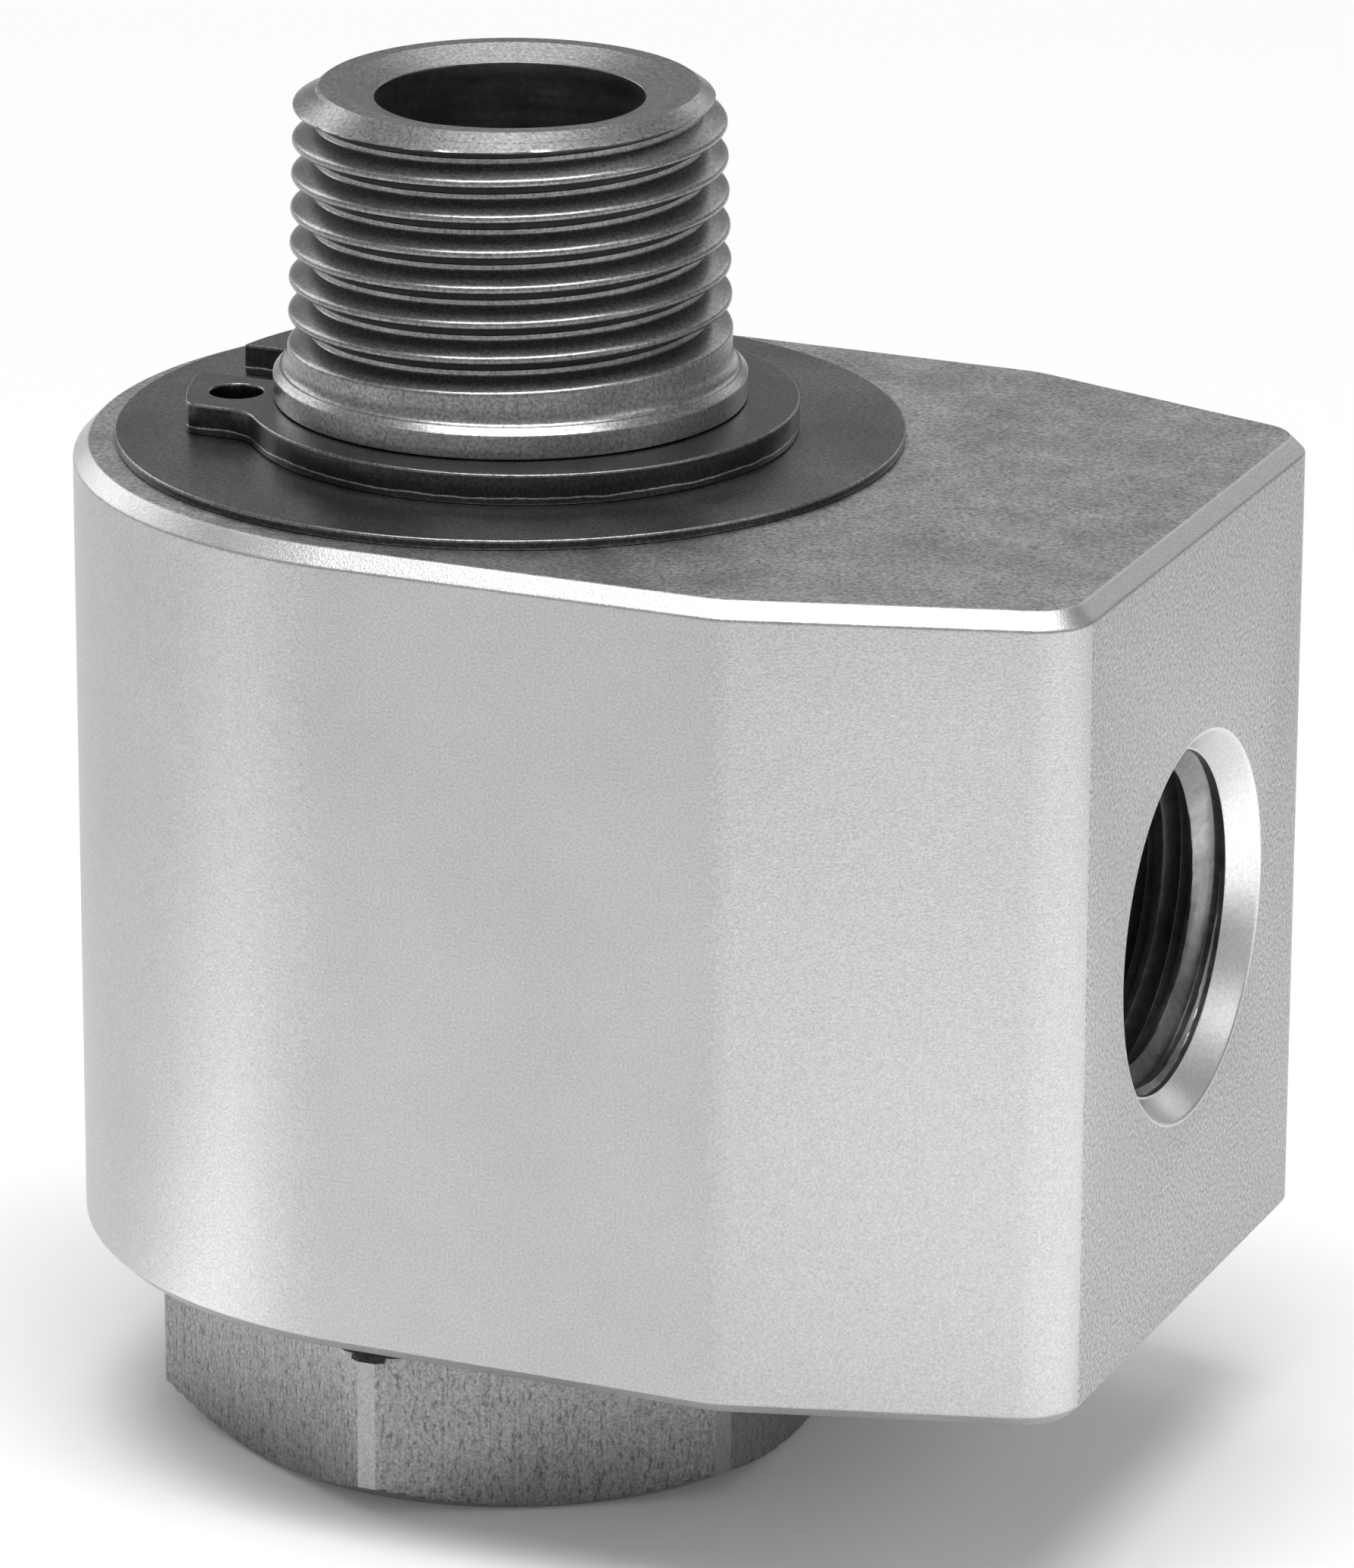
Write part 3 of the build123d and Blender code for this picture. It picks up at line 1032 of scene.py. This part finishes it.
            # Faces that look down under the crests are painted nearly black as shade.
            return ShaftSlot.STAINED if normal.z < self.painted_shade_facing else ShaftSlot.TURNED
        above = centre.z > self.hex_height
        if above and radius < self.passage_r + self.margin:
            return ShaftSlot.DRILLED
        if above or abs(normal.z) > self.turned_facing:
            return ShaftSlot.TURNED
        angle = math.degrees(math.atan2(centre.y, centre.x))
        off = abs(angle % SIDE_ANGLE - SIDE_ANGLE / 2)
        at_corner = off < SIDE_ANGLE / 2 - self.corner_angle
        return ShaftSlot.BURNISHED if at_corner else ShaftSlot.DRAWN

    def build(self) -> bpy.types.Object:
        """Build and dress the shaft.

        Returns:
            The finished shaft.
        """
        shaft = lathe("threaded_shaft", self.profile, self.angles())
        for turn in (0.0, 90.0):
            cut(shaft, self.cross_hole(turn))
        smooth(shaft)
        dress(shaft, [material_for(SHAFT_FINISHES[s]) for s in ShaftSlot], self.slot_for)
        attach(shaft, "shaft_body")
        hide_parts("hollow_shaft")
        return shaft


# ---- The housing --------------------------------------------------------


class HousingSlot(IntEnum):
    """The housing's materials, in slot order."""

    BLASTED = 0
    MILLED = 1
    DRILLED = 2
    MILLED_BLASTED = 3


HOUSING_FINISHES = {
    HousingSlot.BLASTED: BLASTED_STEEL,
    HousingSlot.MILLED: MILLED_STEEL,
    HousingSlot.DRILLED: DRILLED_STEEL,
    HousingSlot.MILLED_BLASTED: MILLED_BLASTED_PAINTED_SHADE_STEEL,
}


@dataclass
class HousingDressing:
    """The housing: a rounded block with a bore and a threaded inlet.

    The port's broken edge is (radius, x) steps from the corner of its mouth,
    and its thread fades in over port_fade, from port_blind above its floor.
    """

    bottom: float
    top: float
    round_r: float = 16.6
    flank: float = 15.4
    reach: float = 27.9
    face_width: float = 25.7
    corner_r: float = 2.4
    kink_r: float = 4.0
    round_steps: int = 60
    kink_steps: int = 8
    corner_steps: int = 16
    support: float = 0.15
    top_chamfer: float = 0.6
    bottom_chamfer: float = 0.5
    edge_r: float = 0.16
    face_inset: float = 1.6
    bore_r: float = 12.0
    bore_chamfer: float = 0.3
    bore_columns: int = 144
    snap_r: float = 12.6
    snap_offset: float = 12.05
    snap_height: float = 1.3
    port_z: float = 23.3
    port_mouth_r: float = 7.475
    port_mouth_depth: float = 1.1
    port_edge: tuple[Point, ...] = ((-0.09, -0.09), (-0.02, -0.03), (0.07, 0.0))
    port_depth: float = 12.0
    port_blind: float = 2.2
    port_fade: float = 0.8
    port_major_r: float = 6.5785
    port_relief: float = 0.22
    port_land: float = 0.08
    port_supports: tuple[float, float] = (0.6, 0.4)
    port_columns: int = 120
    passage_r: float = 3.0
    passage_start: float = 3.0
    overshoot: float = 1.0
    flat_facing: float = 0.99
    margin: float = 0.1
    thread: PipeThread = field(
        default_factory=lambda: PipeThread(
            crest_radius=0.04, root_radius=0.04, depth=0.8, taper=0.0
        )
    )

    def outline(self, inset: float) -> list[Point]:
        """Give the plan's outline, moved inwards.

        Args:
            inset: How far inside the full outline it runs.

        Returns:
            The points, anticlockwise.
        """
        run = Vector((self.reach - self.flank, self.round_r - self.face_width / 2))
        lean = math.degrees(math.atan2(run.y, run.x))
        normal = lean - 90.0
        wall = self.round_r - inset
        kink_x = self.flank - self.kink_r * math.tan(math.radians(lean / 2))
        kink = (kink_x, self.kink_r - self.round_r)
        corner_x = self.reach - self.corner_r
        out_x, out_y = math.cos(math.radians(normal)), math.sin(math.radians(normal))
        gap = out_x * (corner_x - self.flank) + self.corner_r
        corner = (corner_x, -self.round_r - gap / out_y)
        half = arc((0, 0), wall, -180, -90, self.round_steps)
        half += [(self.support, -wall), (kink_x - self.support, -wall)]
        half += arc(kink, self.kink_r - inset, -90, normal, self.kink_steps)
        near = arc(corner, self.corner_r - inset, normal, 0, self.corner_steps)
        start, end = Vector(half[-1]), Vector(near[0])
        pull = (end - start).normalized() * self.support
        half += [tuple(start + pull), tuple(end - pull), *near]
        half.append((self.reach - inset, corner[1] + self.support))
        return half + [(x, -y) for x, y in reversed(half[1:])]

    def levels(self) -> list[Point]:
        """Give the wall's section.

        Returns:
            (inset, height) points from the bottom face to the top face.
        """
        corners = [
            (self.face_inset, self.bottom),
            (self.bottom_chamfer, self.bottom),
            (0.0, self.bottom + self.bottom_chamfer),
            (0.0, self.top - self.top_chamfer),
            (self.top_chamfer, self.top),
            (self.face_inset, self.top),
        ]
        return soften(corners, self.edge_r)

    def block(self) -> bpy.types.Object:
        """Build the solid block with its broken edges.

        Returns:
            The block.
        """
        rings = [[(x, y, z) for x, y in self.outline(inset)] for inset, z in self.levels()]
        count = len(rings[0])
        faces = []
        for foot in range(0, (len(rings) - 1) * count, count):
            for i in range(count):
                j = (i + 1) % count
                faces.append((foot + i, foot + j, foot + count + j, foot + count + i))
        faces.append(tuple(range(count))[::-1])
        faces.append(tuple(range((len(rings) - 1) * count, len(rings) * count)))
        return mesh_object("housing_shell", sum(rings, []), faces)

    def bore(self) -> bpy.types.Object:
        """Build the cutter for the bore and its snap ring grooves.

        Returns:
            The cutter.
        """
        flare = self.bore_r + self.bore_chamfer
        line = [
            (0.0, self.bottom - self.overshoot),
            (flare + self.overshoot, self.bottom - self.overshoot),
            (flare, self.bottom),
            (self.bore_r, self.bottom + self.bore_chamfer),
        ]
        for offset in (-self.snap_offset, self.snap_offset):
            middle = (self.bottom + self.top) / 2 + offset
            foot, head = middle - self.snap_height / 2, middle + self.snap_height / 2
            line += [(self.bore_r, foot), (self.snap_r, foot)]
            line += [(self.snap_r, head), (self.bore_r, head)]
        line += [
            (self.bore_r, self.top - self.bore_chamfer),
            (flare, self.top),
            (flare + self.overshoot, self.top + self.overshoot),
            (0.0, self.top + self.overshoot),
        ]
        return lathe("bore", lambda _: line, even_angles(self.bore_columns))

    def port_line(self, angle: float) -> list[Point]:
        """Give the section of the inlet's cutter.

        Args:
            angle: The column's angle round the port.

        Returns:
            (radius, x) points from inside the bore out past the mouth.
        """
        pitch, section = self.thread.pitch, self.thread.section()
        lead = self.reach - self.port_mouth_depth
        floor = self.reach - self.port_depth
        minor = self.port_major_r - self.thread.depth
        start = floor + self.port_blind
        shift = start + pitch * (angle / 360 - 1)
        points = [(0.0, self.passage_start), (self.passage_r, self.passage_start)]
        points += [(self.passage_r, floor), (minor, floor)]
        above, below = self.port_supports
        points += [(minor, floor + above), (minor, start - below)]
        for turn in range(math.ceil((lead - start) / pitch) + 2):
            for share, depth in section[:-1]:
                x = min(max(shift + pitch * (turn + share), start), lead)
                fade = min((x - start) / self.port_fade, 1.0)
                cone = self.port_major_r - max(lead - self.port_relief - x, 0.0)
                points.append((max(minor + (self.thread.depth - depth) * fade, cone), x))
        points.append((self.port_major_r + self.port_land, lead))
        points += [(self.port_mouth_r + r, self.reach + x) for r, x in self.port_edge]
        end = self.reach + self.overshoot
        return points + [(points[-1][0], end), (0.0, end)]

    def port(self) -> bpy.types.Object:
        """Build the cutter for the inlet: mouth, thread and passage.

        Returns:
            The cutter.
        """
        turn = Matrix.Rotation(math.radians(90), 4, "Y")
        place = Matrix.Translation((0, 0, self.port_z)) @ turn
        return lathe("port", self.port_line, even_angles(self.port_columns), place)

    def slot_for(self, centre: Vector, normal: Vector) -> HousingSlot:
        """Choose the slot for a face.

        Args:
            centre: The face's centre.
            normal: The face's normal.

        Returns:
            The slot.
        """
        port_radius = math.hypot(centre.y, centre.z - self.port_z)
        within = self.bore_r + self.margin < centre.x < self.reach - TOUCH
        if within and port_radius < self.port_mouth_r + self.margin:
            in_mouth = centre.x > self.reach - self.port_mouth_depth - TOUCH
            return HousingSlot.MILLED if in_mouth else HousingSlot.DRILLED
        in_bore = math.hypot(centre.x, centre.y) < self.snap_r + self.margin
        if in_bore and abs(normal.z) < self.flat_facing:
            return HousingSlot.MILLED
        # The top face and the +X end face take the darker finish, whose colour is painted shade.
        flat = max(normal.z, normal.x) > self.flat_facing
        return HousingSlot.MILLED_BLASTED if flat else HousingSlot.BLASTED

    def build(self) -> bpy.types.Object:
        """Build and dress the housing.

        Returns:
            The finished housing.
        """
        housing = self.block()
        cut(housing, self.bore(), self.port())
        smooth(housing)
        materials = [material_for(HOUSING_FINISHES[s]) for s in HousingSlot]
        dress(housing, materials, self.slot_for)
        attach(housing, "housing_body")
        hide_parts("housing")
        return housing


# ---- The pieces that keep their solids ----------------------------------


@dataclass
class KeptPieces:
    """The ring, washers and inner stack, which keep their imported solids."""

    edge: float = 0.085
    edge_steps: int = 3
    edge_angle: float = 50.0
    weld: float = 0.001
    ring: str = "retaining_ring"
    washers: tuple[str, str] = ("upper_thrust_washer", "lower_thrust_washer")

    def blanked(self, name: str, base: Finish, burr_painted_light: float) -> BlankedFinish:
        """Give a node's finish, with the painted shade bands of its own cut edge.

        Args:
            name: The node's name.
            base: The strip's finish.
            burr_painted_light: The factor on the strip's colour along its burr: a painted
                highlight above 1, painted shade below 1.

        Returns:
            The finish.
        """
        low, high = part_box(name)
        strip = replace(base, name=f"{base.name}_{name}")
        return BlankedFinish(strip, low.z / MM, high.z / MM, burr_painted_light)

    def finishes(self) -> dict[str, Finish | BlankedFinish]:
        """Give the finish of each kind of kept node.

        Returns:
            The finishes by a part of the nodes' names.
        """
        upper, lower = self.washers
        return {
            # The ring's burr is a painted highlight; the upper washer's is painted shade.
            self.ring: self.blanked(self.ring, SPRING_STEEL, burr_painted_light=3.6),
            upper: self.blanked(upper, STRIP_STEEL, burr_painted_light=0.4),
            lower: STRIP_STEEL,
            "lantern_ring": TURNED_STEEL,
            "wiper_case": PLATED_STEEL,
            "wiper_lip": NITRILE,
            "snap_ring": SPRING_STEEL,
            "guide_bush": BRONZE,
            "backup_ring": ACETAL,
            "cup_seal": URETHANE,
            "energiser": NITRILE,
        }

    def break_edges(self, node: bpy.types.Object) -> None:
        """Round a blanked piece's edges with modifiers.

        Args:
            node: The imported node.
        """
        weld = node.modifiers.new("weld", "WELD")
        weld.merge_threshold = self.weld * MM
        bevel = node.modifiers.new("broken_edge", "BEVEL")
        bevel.width, bevel.segments = self.edge * MM, self.edge_steps
        bevel.limit_method, bevel.angle_limit = "ANGLE", math.radians(self.edge_angle)
        bevel.harden_normals = True

    def build(self, nodes: dict[str, bpy.types.Object], skip: Sequence[str]) -> None:
        """Dress each kept node and report it.

        Args:
            nodes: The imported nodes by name.
            skip: The nodes that other pieces replace.
        """
        finishes = self.finishes()
        for name, node in nodes.items():
            if name in skip:
                continue
            finish = next(f for part, f in finishes.items() if part in name)
            node.data.materials.clear()
            node.data.materials.append(material_for(finish))
            if name in (self.ring, *self.washers):
                self.break_edges(node)
            LOG.info("%s: %s", name, finish.name)


# ---- The studio ---------------------------------------------------------


def area_lamp(name: str, width: float, height: float, radiance: float) -> bpy.types.Object:
    """Add a rectangular lamp.

    Args:
        name: The lamp's name.
        width: Its width in millimetres.
        height: Its height in millimetres.
        radiance: The brightness of its face, where 1 shows as white.

    Returns:
        The lamp, at the origin and linked to the scene.
    """
    light = bpy.data.lights.new(name, "AREA")
    light.shape, light.size, light.size_y = "RECTANGLE", width * MM, height * MM
    light.energy = radiance * math.pi * light.size * light.size_y
    lamp = bpy.data.objects.new(name, light)
    bpy.context.scene.collection.objects.link(lamp)
    return lamp


@dataclass(frozen=True)
class Softbox:
    """One soft lamp, placed by its direction from the part's middle."""

    name: str
    azimuth: float
    elevation: float
    distance: float
    width: float
    height: float
    radiance: float

    def place(self, target: Vector) -> None:
        """Add the lamp.

        Args:
            target: The point that it faces, in metres.
        """
        a, e = math.radians(self.azimuth), math.radians(self.elevation)
        level = math.cos(e)
        towards = Vector((math.cos(a) * level, math.sin(a) * level, math.sin(e)))
        lamp = area_lamp(self.name, self.width, self.height, self.radiance)
        lamp.location = target + towards * self.distance * MM
        lamp.rotation_euler = towards.to_track_quat("Z", "Y").to_euler()


@dataclass(frozen=True)
class FloorStrip:
    """A soft lamp that lies on the floor and shines up, beside the part."""

    name: str
    azimuth: float
    start: float
    end: float
    width: float
    radiance: float
    rise: float = 0.5

    def place(self, target: Vector) -> None:
        """Add the lamp.

        Args:
            target: The point, in metres, that its length leads away from.
        """
        turn = math.radians(self.azimuth)
        out = Vector((math.cos(turn), math.sin(turn), 0)) * (self.start + self.end) / 2
        lamp = area_lamp(self.name, self.width, self.end - self.start, self.radiance)
        lamp.location = Vector((target.x, target.y, self.rise * MM)) + out * MM
        lamp.rotation_euler = (math.pi, 0, turn + math.pi / 2)


@dataclass
class Studio:
    """A white floor, a grey room that is lighter in front, soft lamps and the camera.

    The floor glows by itself where it lies behind the part, from glow_start to
    glow_end along glow_azimuth, and shows its shadow in front.
    """

    target: tuple[float, float, float] = (5.0, 0.0, 31.2)
    azimuth: float = 112.92
    elevation: float = 18.78
    roll: float = 0.24
    distance: float = 343.8
    right_shift: float = 1.740
    up_shift: float = -5.082
    lens: float = 207.4778
    sensor: float = 36.0
    clip: tuple[float, float] = (10.0, 20000.0)
    floor_colour: str = "F4F4F4"
    floor_half: float = 4000.0
    floor_drop: float = 0.02
    glow_near: float = 0.05
    glow_far: float = 0.85
    glow_azimuth: float = 150.0
    glow_start: float = 15.0
    glow_end: float = 75.0
    room_front: tuple[float, float, float] = (-0.2, -0.95, 0.25)
    room_levels: tuple[float, float] = (0.24, 0.44)
    lamps: tuple[Softbox | FloorStrip, ...] = (
        Softbox("overhead_front", 293.0, 77.0, 270.0, 250.0, 125.0, 8.2),
        Softbox("overhead_back", 113.0, 52.0, 900.0, 420.0, 300.0, 2.1),
        Softbox("right_side", 2.0, 34.0, 1000.0, 460.0, 400.0, 1.4),
        Softbox("back_right", 80.0, 22.0, 1100.0, 500.0, 400.0, 1.2),
        Softbox("left_side", 158.0, 24.0, 1100.0, 540.0, 540.0, 2.6),
        FloorStrip("floor_strip_right", -22.0, 36.0, 240.0, 160.0, 0.62),
        FloorStrip("floor_strip_left", 221.0, 26.0, 230.0, 16.0, 0.98),
    )

    def camera(self) -> None:
        """Place the camera by its direction from the target, then shift and roll it."""
        a, e = math.radians(self.azimuth), math.radians(self.elevation)
        ahead = Vector((math.cos(a) * math.cos(e), math.sin(a) * math.cos(e), -math.sin(e)))
        level = Vector((math.sin(a), -math.cos(a), 0))
        upright = level.cross(ahead)
        c, s = math.cos(math.radians(self.roll)), math.sin(math.radians(self.roll))
        right = level * c + upright * s
        up = upright * c - level * s
        data = bpy.data.cameras.new("camera")
        data.sensor_fit = "VERTICAL"
        data.sensor_height = data.sensor_width = self.sensor
        data.lens = self.lens
        data.clip_start, data.clip_end = (limit * MM for limit in self.clip)
        place = Vector(self.target) - ahead * self.distance
        place += right * self.right_shift + up * self.up_shift
        camera = bpy.data.objects.new("camera", data)
        axes = Matrix((right, up, -ahead)).transposed().to_4x4()
        camera.matrix_world = Matrix.Translation(place * MM) @ axes
        bpy.context.scene.collection.objects.link(camera)
        bpy.context.scene.camera = camera

    def paper(self) -> bpy.types.Material:
        """Make the floor's white paper, which glows behind the part.

        Returns:
            The material.
        """
        material = bpy.data.materials.new("white_paper_floor")
        material.use_nodes = True
        tree = material.node_tree
        tree.nodes.clear()
        ray = add_node(tree, "ShaderNodeLightPath").outputs
        seen = ray["Is Camera Ray"]
        for other in ("Is Glossy Ray", "Is Transmission Ray"):
            links = {0: seen, 1: ray[other]}
            seen = add_node(tree, "ShaderNodeMath", {"operation": "MAXIMUM"}, links).outputs[0]
        place = add_node(tree, "ShaderNodeTexCoord").outputs["Object"]
        turn = math.radians(self.glow_azimuth)
        settings = {"operation": "DOT_PRODUCT", 1: (math.cos(turn), math.sin(turn), 0.0)}
        depth = add_node(tree, "ShaderNodeVectorMath", settings, {0: place}).outputs["Value"]
        settings = {
            "interpolation_type": "SMOOTHSTEP",
            "From Min": self.glow_start * MM,
            "From Max": self.glow_end * MM,
            "To Min": self.glow_near,
            "To Max": self.glow_far,
        }
        glow = add_node(tree, "ShaderNodeMapRange", settings, {"Value": depth}).outputs[0]
        links = {0: seen, 1: glow}
        share = add_node(tree, "ShaderNodeMath", {"operation": "MULTIPLY"}, links).outputs[0]
        settings = {"Color": linear(self.floor_colour)}
        matt = add_node(tree, "ShaderNodeBsdfDiffuse", settings).outputs[0]
        settings = {"Color": (1, 1, 1, 1), "Strength": 1.0}
        white = add_node(tree, "ShaderNodeEmission", settings).outputs[0]
        links = {0: share, 1: matt, 2: white}
        mixed = add_node(tree, "ShaderNodeMixShader", {}, links).outputs[0]
        add_node(tree, "ShaderNodeOutputMaterial", {}, {"Surface": mixed})
        return material

    def floor(self) -> None:
        """Lay the floor just under the part."""
        half, z = self.floor_half, -self.floor_drop
        corners = [(-half, -half, z), (half, -half, z), (half, half, z), (-half, half, z)]
        floor = mesh_object("floor", corners, [(0, 1, 2, 3)])
        floor.data.materials.append(self.paper())

    def room(self) -> None:
        """Fill the world with a plain grey that is lighter in front."""
        world = bpy.data.worlds.new("grey_room")
        bpy.context.scene.world = world
        world.use_nodes = True
        tree = world.node_tree
        direction = add_node(tree, "ShaderNodeTexCoord").outputs["Generated"]
        front = Vector(self.room_front).normalized()
        settings = {"operation": "DOT_PRODUCT", 1: front}
        facing = add_node(
            tree, "ShaderNodeVectorMath", settings, {0: direction}
        ).outputs["Value"]
        dim, bright = self.room_levels
        settings = {"From Min": -1.0, "From Max": 1.0, "To Min": dim, "To Max": bright}
        level = add_node(tree, "ShaderNodeMapRange", settings, {"Value": facing}).outputs[0]
        background = tree.nodes["Background"]
        background.inputs["Color"].default_value = (1, 1, 1, 1)
        tree.links.new(level, background.inputs["Strength"])

    def build(self) -> None:
        """Set up the whole studio."""
        bpy.context.scene.view_settings.view_transform = "Standard"
        self.camera()
        self.floor()
        self.room()
        for lamp in self.lamps:
            lamp.place(Vector(self.target) * MM)


# ---- Main ---------------------------------------------------------------


def main() -> None:
    """Build each sub-assembly in turn and report it."""
    logging.basicConfig(level=logging.INFO, format="%(message)s")
    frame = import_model()
    studio = Studio()
    studio.build()
    LOG.info("studio: %d lamps", len(studio.lamps))
    shaft = ShaftDressing(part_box("hollow_shaft")[1].z / MM).build()
    LOG.info("%s: %d faces", shaft.name, len(shaft.data.polygons))
    low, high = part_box("housing")
    housing = HousingDressing(low.z / MM, high.z / MM).build()
    LOG.info("%s: %d faces", housing.name, len(housing.data.polygons))
    KeptPieces().build(frame["nodes"], ("housing", "hollow_shaft"))


if __name__ == "__main__":
    main()
